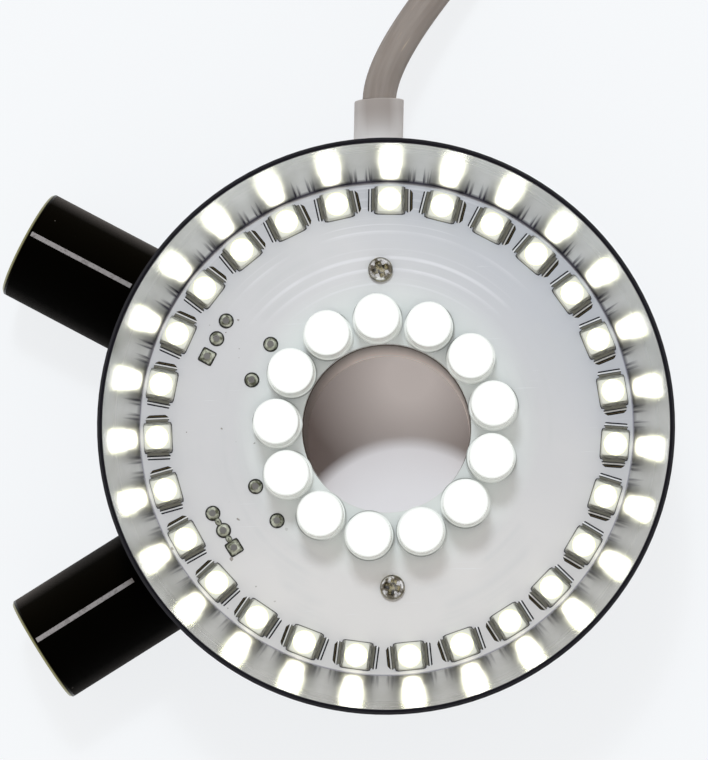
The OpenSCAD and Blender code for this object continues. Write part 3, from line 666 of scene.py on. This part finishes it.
def smdFillet(end, sign):
    # solder from the lead's face down to the board: height = 0.05 + climb (1 - s)^2.2, level across but for rounded
    # sides, and the half width goes from the lead's to the tip's
    reach, tip, climb = smdLead[end + "Reach"], smdLead[end + "Tip"], smdLead[end + "Climb"]
    s = np.linspace(0, 1, 14)[:, None]
    t = np.linspace(-1, 1, 19)[None]
    start, first = smdLead["halfWide"] + smdLead["overlap"], smdLead["face"] - smdLead["bite"]
    x = t * (start + (tip - start) * np.clip((s - 0.35) / 0.65, 0, 1) ** 1.4)
    y = first + (reach - first) * s + 0 * t
    z = (0.05 + climb * (1 - s) ** 2.2) * (1 - t ** 8) * (1 - s ** 12)
    share = smdLead[end + "From"] + smdLead["bentShare"] + (1 - smdLead["bentShare"]) * s
    return {"points": np.stack([x * sign, y * sign, z], -1),
            "uv": np.stack(np.broadcast_arrays(0.5 + 0.5 * t, share), -1)}


# white moulded case: it glows near the lens and through its outer wall, has olive-grey, streaky end slopes and
# a dark foot line where it meets the board; its marks are in mm across, along or over the board
caseMarks = {"slope": (1.2, 1.26), "darker": (1.26, 1.56), "footLine": (0.07, 0.12), "halo": (1.18, 1.7),
             "wall": (1.345, 1.37), "glowHalf": 1.12, "glowTop": (0.45, 1.6), "glowEdge": (1.0, 0.6)}

lampCase, place = newFinish("lampCase", {"Emission Strength": 4.0})
level = xyz(place)[2]
uv = surfaceUv(place)
end = unsigned(uv[1])
grain = grainOn(place, 2600.0, 0.4, 0.55)
streaks = between(noise(stretched((uv[0], 1.3), (end, 11.0), (level, 900.0)), 1.0, 3.0), 0.4, 0.6)
pale = mixed(streaks, (132, 132, 119), (206, 206, 194))
dark = mixed(streaks, (60, 59, 57), (150, 149, 141))
sloping = between(end, *caseMarks["slope"])
body = layered(
    mixed(grain["Value"], (206, 206, 196), (218, 218, 208)),
    (sloping, mixed(between(end, *caseMarks["darker"]), pale, dark)),
    (overBoard(level, *caseMarks["footLine"], 1.0, 0.0), (24, 19, 32)))
spread = between(flatPlace(uv[0], uv[1])[1], *caseMarks["halo"])
halo = mixed(spread, (0.05, 0.05, 0.034, 1.0), (0.004, 0.004, 0.003, 1.0))
high = overBoard(level, *caseMarks["glowTop"], 1.0, 0.0)
oval = plus(maths("POWER", maths("DIVIDE", end, caseMarks["glowHalf"]), 2.0), maths("POWER", high, 2.0))
wall = times(between(uv[0], *caseMarks["wall"]), between(oval, *caseMarks["glowEdge"]))
wall = times(wall, minus(1.0, cameraRay(place)))  # the cone sees it, the camera doesn't
dress(body, grain, 0.01)
join({"Emission Color": layered(halo, (sloping, unlit), (wall, (1.0, 0.98, 0.8, 1.0)))})

# lit phosphor: white, fading to yellow-green at the rim; what it casts comes mostly from its outer half; spot is the
# share of the lens's radius
litPhosphor, place = newFinish("litPhosphor", {"Roughness": 0.3, "Emission Strength": 15.0})
uv = surfaceUv(place)
spot = plus(flatPlace(uv[0], uv[1])[1], grainOn(place, 1500.0, -0.02, 0.02)["Value"])
cast = mixed(between(spot, 0.76, 1.0), (1.0, 1.0, 0.97, 1.0), (0.34, 0.35, 0.06, 1.0))
cast = mixed(between(uv[0], -0.9, 0.1), (0.02, 0.02, 0.018, 1.0), cast)
seen = mixed(between(spot, 0.72, 0.86), (1.0, 1.0, 0.97, 1.0), (0.073, 0.073, 0.063, 1.0))
seen = mixed(between(spot, 0.86, 1.0), seen, (0.057, 0.059, 0.037, 1.0))
join({"Emission Color": mixed(cameraRay(place), cast, seen),
      "Base Color": mixed(between(spot, 0.84, 1.0), (250, 244, 214), (232, 226, 160))})


def leadRamp(along, tones):
    # colours at places along a lead, from the case to the tip of its solder
    node = addNode("ValToRGB", {0: along})
    ramp = node.color_ramp
    (ramp.elements[0].position, first), (ramp.elements[1].position, last) = tones[0], tones[-1]
    ramp.elements[0].color, ramp.elements[1].color = paint(*first), paint(*last)
    for stop, tone in tones[1:-1]:
        ramp.elements.new(stop).color = paint(*tone)
    return node.outputs[0]


# tinned leads, their tones painted light and shade: the wide end is dark with painted shade, a white painted
# highlight half way and a straw line, the narrow end a bright painted highlight between dark painted shadow lines
# dark stops are painted shade and white stops painted highlights
leadTones = {
    "wide": ((0.0, (96, 94, 84)), (0.2, (126, 124, 112)), (0.26, (20, 17, 21)), (0.42, (18, 15, 19)),
             (0.47, (236, 234, 230)), (0.6, (240, 238, 232)), (0.65, (20, 17, 19)), (0.78, (24, 20, 19)),
             (0.83, (112, 98, 68)), (0.88, (28, 24, 22)), (1.0, (10, 8, 12))),
    "narrow": ((0.0, (96, 94, 84)), (0.2, (126, 124, 112)), (0.26, (22, 19, 24)), (0.5, (20, 17, 24)),
               (0.54, (238, 238, 237)), (0.74, (240, 240, 240)), (0.79, (26, 22, 31)), (1.0, (22, 18, 28)))}

tinnedLead, place = newFinish("tinnedLead", {"Metallic": 0.2, "Specular IOR Level": 0.3})
along = surfaceUv(place)[1]
wideEnd = leadRamp(along, leadTones["wide"])
narrowEnd = leadRamp(minus(along, smdLead["narrowFrom"]), leadTones["narrow"])
isNarrow = maths("GREATER_THAN", along, smdLead["narrowFrom"] - 0.5)
dress(mixed(isNarrow, wideEnd, narrowEnd), grainOn(place, 1800.0, 0.25, 0.42), 0.02)

smdCases = pieceFrom("smdCases", [ringOf(smdCaseShape(), smd)], lampCase, stands=("smd_led_cases",),
                     sharp=42)
smdLenses = pieceFrom("smdLenses", [ringOf(smdLensShape(), smd)], litPhosphor, stands=("smd_led_lenses",))
leads = [make(end, sign) for end, sign in (("wide", -1), ("narrow", 1)) for make in (smdLeadStrip, smdFillet)]
smdLeads = pieceFrom("smdLeads", [ringOf(lead, smd) for lead in leads], tinnedLead, stands=("smd_led_leads",),
                     sharp=60)
print("small lamps set:", smd["count"])


# flat-topped lamps
flatRing = {"count": 13, "radius": 11.45, "phase": 9.5}
flatLamp = {"radius": 2.4, "topRadius": 2.36, "spot": 2.22, "flangeRadius": 2.66, "flange": 0.7, "tall": 5.2,
            "rounds": (0.04, 0.05, 0.02, 0.1), "middle": 0.1, "sides": 64, "flangeLine": (3.38, 3.3),
            "glowing": (0.6, 5.1)}


def flatLampShape():
    # a turned outline: flange, slightly tapered side and a flat top with a small round at its edge
    corners = [[flatLamp["middle"], 0.0], [flatLamp["flangeRadius"], 0.0],
               [flatLamp["flangeRadius"], flatLamp["flange"]], [flatLamp["radius"], flatLamp["flange"]],
               [flatLamp["topRadius"], flatLamp["tall"]], [flatLamp["middle"], flatLamp["tall"]]]
    patch = lathe(roundedLine(corners, flatLamp["rounds"]), flatLamp["sides"])
    return capped(patch["points"], patch["uv"])


# clear lit resin: the flat top is white inside a soft pale rim, the side glows faintly and the flange's edge is a
# broken grey line
flatLampTurn = flatLampShape()
litEpoxy, place = newFinish("litEpoxy", {"Emission Strength": 3.0})
run = surfaceUv(place)[1]
spotFrom = float(flatLampTurn["uv"][..., 1].max()) - flatLamp["spot"] + flatLamp["middle"]
glow = overBoard(xyz(place)[2], *flatLamp["glowing"])
side = mixed(glow, (0.024, 0.024, 0.023, 1.0), (0.03, 0.03, 0.029, 1.0))
shine = layered(side, (between(run, spotFrom - 0.02, spotFrom + 0.14), (0.13, 0.131, 0.13, 1.0)),
                (between(run, spotFrom + 0.14, spotFrom + 0.5), white))
flange = times(between(run, *flatLamp["flangeLine"]), between(noise(place, 260.0, 1.0), 0.4, 0.58, 0.25, 1.0))
join({"Emission Color": shine, "Roughness": grainOn(place, 1100.0, 0.16, 0.24)["Value"],
      "Base Color": mixed(flange, (235, 237, 233), (112, 116, 113))})
flatLamps = pieceFrom("flatLamps", [ringOf(flatLampTurn, flatRing)], litEpoxy, stands=("flat_led_lenses",))
print("flat lamps set:", flatRing["count"])


# board screws
screw = {"places": ((0.0, 16.7), (0.0, -16.7)), "turns": (0.35, -0.3), "radius": 1.3, "tall": 0.88,
         "side": 0.34, "slotHalf": 0.29, "slotReach": 0.96, "slotDepth": 0.5, "sides": 96}


def screwHead(turn):
    # a low dome, side + (tall - side) sqrt(1 - d^3), less a cross that is deep where the point is near an arm of it
    share = np.concatenate([[1.0, 1.0, 1.0], np.linspace(0.985, 0.03, 34)])[:, None]
    angle = fullTurn(screw["sides"])[None]
    x, y = screw["radius"] * share * np.cos(angle), screw["radius"] * share * np.sin(angle)
    dome = screw["side"] + (screw["tall"] - screw["side"]) * np.sqrt(np.clip(1 - share ** 3, 0, 1))
    near, far = np.minimum(np.abs(x), np.abs(y)), np.maximum(np.abs(x), np.abs(y))
    cross = smoothStep((screw["slotHalf"] + 0.05 - near) / 0.09) * smoothStep((screw["slotReach"] - far) / 0.3)
    z = dome - screw["slotDepth"] * cross
    z[0], z[1] = 0.0, screw["side"] * 0.75
    points = polar(screw["radius"] * share, angle + turn, z)
    return capped(points, turnUv(screw["sides"], share[:, 0])[..., ::-1])


# plated steel with painted highlights: bright and uneven, with a darker edge and a cross painted dark as shade, with
# straw flecks
screwSteel, place = newFinish("screwSteel", {"Metallic": 0.85})
# painted highlights: a noise between olive grey and near white on the plated steel
plateAndHighlights = mixed(between(noise(place, 1500.0), 0.42, 0.56), (120, 112, 98), (254, 252, 250))
# painted shade in the cross's recess, with straw flecks
crossShadeAndFlecks = mixed(between(noise(place, 2000.0), 0.44, 0.58), (22, 19, 11), (206, 194, 150))
plateAndHighlights = layered(plateAndHighlights, (between(surfaceUv(place)[0], 0.82, 0.96), (122, 118, 106)),
                (overBoard(xyz(place)[2], 0.3, 0.62, 1.0, 0.0), crossShadeAndFlecks))
dress(plateAndHighlights, grainOn(place, 2600.0, 0.1, 0.24), 0.015)
heads = [placed(screwHead(turn), np.eye(3), (*spot, boardTop)) for spot, turn in zip(screw["places"], screw["turns"])]
pieceFrom("boardScrews", heads, screwSteel, stands=("board_screws",), sharp=60)


# solder joints of the dimmers
joint = {"angles": (150.0, 210.0), "rows": ((20.18, (-2.12, 0.0, 2.12)), (14.88, (-2.12, 2.12))), "half": 0.8,
         "square": 9.0, "padThick": 0.07, "tall": 0.74, "sides": 40, "runAngle": 210.0, "run": (0.42, 0.62, 0.55)}


def solderJoint(square):
    # a pad with a mound on it: height = pad + (tall - pad) (1 - (d / 0.92)^2)^1.5, where d is 1 on the pad's outline
    share = np.concatenate([[1.0, 1.0, 0.985], np.linspace(0.93, 0.05, 12)])[:, None]
    angle = fullTurn(joint["sides"])[None]
    power = joint["square"] if square else 2.0
    outline = joint["half"] * (np.abs(np.cos(angle)) ** power + np.abs(np.sin(angle)) ** power) ** (-1 / power)
    mound = np.clip(1 - (share / 0.92) ** 2, 0, 1) ** 1.5
    z = joint["padThick"] + (joint["tall"] - joint["padThick"]) * mound + 0 * angle
    z[0], z[1] = 0.0, joint["padThick"] * 0.7
    return capped(polar(outline * share, angle, z), turnUv(joint["sides"], share[:, 0])[..., ::-1])


def solderJoints():
    made = []
    for angle in joint["angles"]:
        out = np.array([np.cos(radians(angle)), np.sin(radians(angle)), 0.0])
        side = np.array([-out[1], out[0], 0.0])
        up = np.array([0.0, 0.0, 1.0])
        for radius, steps in joint["rows"]:
            made += [placed(solderJoint(len(steps) == 3 and step > 0), [out, side, up],
                            radius * out + step * side + boardTop * up) for step in steps]
        if angle == joint["runAngle"]:
            # solder that has run between the joints of one row: a joint drawn narrow and low in each gap
            radius, steps = joint["rows"][0]
            made += [placed(solderJoint(False), [axis * part for axis, part in zip((out, side, up), joint["run"])],
                            radius * out + (a + b) / 2 * side + boardTop * up) for a, b in zip(steps, steps[1:])]
    return made


# dull solder: olive grey with a dark ring at the pad's edge and flux round the pin
solderGrey, place = newFinish("solderGrey", {"Metallic": 0.15})
share = surfaceUv(place)[0]
ragged = times(noise(place, 2600.0), 0.3)
tone = layered(
    mixed(between(noise(place, 1700.0), 0.38, 0.64), (94, 95, 74), (216, 218, 200)),
    (between(plus(share, ragged), 0.86, 1.02), (26, 24, 19)),
    (times(between(share, 0.14, 0.28, 1.0, 0.0), 0.85), (42, 40, 33)))
dress(tone, grainOn(place, 3200.0, 0.3, 0.5), 0.05)
pieceFrom("dimmerSolder", solderJoints(), solderGrey, stands=("pot_solder_joints",), sharp=60)
print("screws and solder made")


# cable sleeve
sleeve = {"wall": 30.0, "sides": 48, "outline": (
    (1.85, 30.0), (1.85, 26.6), (3.4, 26.6), (3.4, 27.9), (2.65, 27.9), (2.65, 35.7), (1.85, 35.7)),
    "round": (0.03, 0.15, 0.15, 0.1, 0.12), "middle": 0.0003, "cordEdge": (0.0021, 0.0012),
    "fade": (0.0298, 0.0345), "shows": (0.0306, 0.035)}


def sleeveShape():
    # a closed outline (radius, distance) turned round the cord's axis; past the wall it leans aside by the
    # 1.5th power of the distance, as the cord pulls it
    patch = lathe(roundedLine(sleeve["outline"], sleeve["round"], steps=5), sleeve["sides"], closed=True)
    patch = placed(patch, [[1, 0, 0], [0, 0, -1], [0, 1, 0]], (0, 0, cord["axisHeight"]))
    out = np.clip((patch["points"][..., 1] - sleeve["wall"]) / (cord["sleeveEnd"] - sleeve["wall"]), 0, 1)
    patch["points"][..., 0] += cord["lean"] * out ** 1.5
    return patch


# cloudy vinyl: paler at its foot as painted light, and a darker band of painted shade along its outer half where the
# cord inside shows through
sleeveGrey, place = newFinish("sleeveGrey", {"Transmission Weight": 0.12, "IOR": 1.15, "Specular IOR Level": 0.2})
x, y = xyz(place)[:2]
# painted shade: the cord's shadow inside the vinyl, a band along the middle of its outer half
cordShadowBand = between(unsigned(minus(x, sleeve["middle"])), *sleeve["cordEdge"])
cordShadowBand = times(cordShadowBand, between(y, *sleeve["shows"], 0.0, 0.85, smooth=True))
# painted light: paler towards the foot at the cup's wall
vinyl = mixed(between(y, *sleeve["fade"]), (255, 252, 250), (206, 199, 195))
dress(mixed(cordShadowBand, vinyl, (170, 160, 154)), grainOn(place, 900.0, 0.36, 0.48), 0.004)
pieceFrom("cableSleeve", [sleeveShape()], sleeveGrey, stands=("cable_sleeve",))
print("sleeve made")


# finishes of the rest
# black lacquered knob: nearly no gloss but a soft sheen where it turns away, and a little dust
knobBlack, place = newFinish("knobBlack", {"Specular IOR Level": 0.012})
grain = grainOn(place, 1500.0, 0.5, 0.62)
turnedAway = newNode(place.id_data, "LayerWeight", {"Blend": 0.5}).outputs["Facing"]
skin = layered(
    mixed(grain["Value"], (1, 1, 0), (3, 2, 1)),
    (between(turnedAway, 0.42, 1.0), (46, 43, 41)),
    (times(specksOn(place, 700.0, 0.08, 0.1), 0.25), (110, 104, 98)))
dress(skin, grain, 0.008)

# spun end cap: straw-tinted metal, black where the lacquer runs on to it; along is the distance on a knob's axis
cap = {"axis": (-0.866, 0.5), "lacquerEnd": (0.04328, 0.04345)}

capMetal, place = newFinish("capMetal", {"Metallic": 1.0})
grain = grainOn(place, 2600.0, 0.24, 0.4)
x, y = xyz(place)[:2]
along = plus(times(x, cap["axis"][0]), times(unsigned(y), cap["axis"][1]))
straw = mixed(grain["Value"], (128, 124, 84), (168, 164, 126))
dress(mixed(between(along, *cap["lacquerEnd"]), (6, 4, 3), straw), grain, 0.01)

# pointer: grey-white paint, thin and broken at its edges
pointerWhite, place = newFinish("pointerWhite", {})
thin = between(noise(place, 2600.0, 3.0, 0.7), 0.5, 0.72)
dress(mixed(thin, (146, 141, 140), (92, 86, 84)), grainOn(place, 2800.0, 0.5, 0.7), 0.03)

finishes = {
    "anodised_black": anodisedBlack, "bright_aluminium": brightAluminium, "board_white": boardWhite,
    "screw_steel": screwSteel, "lamp_case": lampCase, "lit_phosphor": litPhosphor, "lit_epoxy": litEpoxy,
    "solder": solderGrey, "knob_black": knobBlack, "cap_metal": capMetal, "pointer_white": pointerWhite,
    "sleeve_grey": sleeveGrey, "cord_grey": cordGrey, "tie_black": tieBlack,
    "tinned_lead": mouldedFinish("tinnedPin", (150, 148, 142), (176, 174, 168), (0.25, 0.4), metallic=1.0),
    "resistor_black": mouldedFinish("resistorBlack", (26, 26, 28), (44, 44, 46), (0.3, 0.45)),
    "pot_plastic": mouldedFinish("dimmerPlastic", (46, 62, 54), (58, 74, 66), (0.4, 0.55)),
    "pot_metal": mouldedFinish("dimmerMetal", (176, 175, 170), (150, 148, 142), (0.28, 0.42), metallic=1.0),
    "track_brown": mouldedFinish("trackBrown", (96, 66, 44), (70, 50, 36), (0.5, 0.65)),
    "rotor_cream": mouldedFinish("rotorCream", (226, 220, 200), (206, 198, 176), (0.4, 0.55)),
    "wire_red": mouldedFinish("wireRed", (176, 36, 30), (150, 28, 26), (0.35, 0.5)),
    "wire_black": mouldedFinish("wireBlack", (24, 24, 26), (40, 40, 42), (0.35, 0.5)),
    "plug_black": mouldedFinish("plugBlack", (24, 24, 25), (38, 38, 39), (0.4, 0.55), scale=1800.0, depth=0.02),
    "plug_nickel": mouldedFinish("plugNickel", (206, 203, 196), (188, 184, 176), (0.14, 0.26), metallic=1.0),
}
for part in frame["record"]["subparts"]:
    nodes[part["node"]].material_slots[0].material = finishes[part["material_slot"]]
print("finishes on all CAD nodes")


# floor and light
floor = {"size": 1.6, "level": -0.00004, "points": 5, "albedo": (0.92, 0.92, 0.92, 1.0),
         "shown": (0.93, 0.948, 0.968, 1.0), "share": 0.85, "boreShown": (0.567, 0.498, 0.475, 1.0),
         "boreDeep": (0.05, 0.02, 0.015, 1.0), "boreLit": (0.739, 0.713, 0.74, 1.0), "boreMiddle": (2.5, 6.5),
         "boreFade": (0.0025, 0.012), "litMiddle": (1.6, -13.2), "litEdge": (0.0133, 0.0118), "boreShare": 0.6,
         "boreEdge": (0.0105, 0.0125)}

grid = np.meshgrid(*[np.linspace(-floor["size"], floor["size"], floor["points"])] * 2)
floorPoints = np.stack([*grid, np.full_like(grid[0], floor["level"])], -1).reshape(-1, 3)
floorMesh = bpy.data.meshes.new("floor")
floorMesh.from_pydata(floorPoints.tolist(), [], gridFaces(floor["points"], floor["points"], 0, 0)[0].tolist())
floorObject = addObject("floor", floorMesh)

# pale paper: most of what the camera, glossy and transmitted rays see is its plain tone, the rest its lit surface;
# under the bore that tone is painted shade, darker away from its middle, with a painted pool of the key's light
paper, place = newFinish("paper", {"Base Color": floor["albedo"], "Roughness": 0.9, "Specular IOR Level": 0.1})
flat, away = flatPlace(*xyz(place)[:2])
outside = between(away, *floor["boreEdge"])
share = between(outside, 0.0, 1.0, floor["boreShare"], floor["share"])
inside, inKey = (vectorMaths("DISTANCE", flat, (a * mm, b * mm, 0.0))["Value"]
                 for a, b in (floor["boreMiddle"], floor["litMiddle"]))
# painted shade under the bore, darker away from boreMiddle, and a painted pool of key light where it comes through
# the bore
tone = layered(
    mixed(between(inside, *floor["boreFade"]), floor["boreShown"], floor["boreDeep"]),
    (between(inKey, *floor["litEdge"]), floor["boreLit"]),  # where the key comes through the bore
    (outside, floor["shown"]))
shown = addNode("Emission", {"Color": tone, "Strength": 1.0}).outputs[0]
tree = paper.node_tree
lit = tree.nodes["Principled BSDF"].outputs[0]
blend = addNode("MixShader", {0: times(sightRays(place), share), 1: lit, 2: shown}).outputs[0]
tree.links.new(blend, tree.nodes["Material Output"].inputs["Surface"])
floorMesh.materials.append(paper)

light = {"ambient": (1.0, 0.965, 0.93, 1.0), "ambientLevel": 0.66, "zenith": (0.45, 0.45, 0.47, 1.0),
         "horizon": (0.93, 0.94, 0.96, 1.0), "rise": (0.15, 0.9), "keyPlace": (-0.06, 0.545, 1.0), "keySize": 0.075,
         "keyPower": 6.3, "keyColour": (0.83, 0.92, 1.0), "softSize": 0.25, "softShare": 0.7,
         "sheenPlace": (-0.1, 0.6, 0.05), "sheenSize": 0.12, "sheenPower": 14.0, "sheenColour": (1.0, 1.0, 1.0)}

world = bpy.data.worlds.new("studio")
world.use_nodes = True
scene.world = world
tree = world.node_tree
up = xyz(newNode(tree, "TexCoord").outputs["Generated"])[2]
room = mixed(between(up, *light["rise"]), light["horizon"], light["zenith"])
soft = newNode(tree, "Background", {"Color": light["ambient"], "Strength": light["ambientLevel"]}).outputs[0]
shown = addNode("Background", {"Color": room, "Strength": 1.0}).outputs[0]
blend = addNode("MixShader", {0: sightRays(up), 1: soft, 2: shown}).outputs[0]
tree.links.new(blend, tree.nodes["World Output"].inputs["Surface"])


def diskLight(name, place, size, power, colour):
    # a round area light that looks at the origin; metal shows the room and the lamps, not this light
    data = bpy.data.lights.new(name, "AREA")
    data.shape = "DISK"
    data.size, data.energy, data.color = size, power, colour
    made = addObject(name, data)
    made.location = place
    made.rotation_mode = "QUATERNION"
    made.rotation_quaternion = (-made.location).to_track_quat("-Z", "Y")
    made.visible_glossy = False
    return made


def lightGroup(name, pieces):
    group = bpy.data.collections.new(name)
    for piece in pieces:
        group.objects.link(piece)
    return group


# the key in two parts: the small one passes through all lit lamps, the wide one through those of the outer ring
outerLamps = [smdCases, smdLenses, smdLeads]
for name, size, share, lamps in (("key", light["keySize"], 1 - light["softShare"], [*outerLamps, flatLamps]),
                                 ("softKey", light["softSize"], light["softShare"], outerLamps)):
    key = diskLight(name, light["keyPlace"], size, light["keyPower"] * share, light["keyColour"])
    key.light_linking.blocker_collection = lightGroup(name + "PassesThrough", lamps)
    for entry in key.light_linking.blocker_collection.collection_objects:
        entry.light_linking.link_state = "EXCLUDE"
sheen = diskLight("knobSheen", light["sheenPlace"], light["sheenSize"], light["sheenPower"], light["sheenColour"])
sheen.light_linking.receiver_collection = lightGroup("knobsAlone", [nodes["upper_knob"], nodes["lower_knob"]])
print("floor and light set")
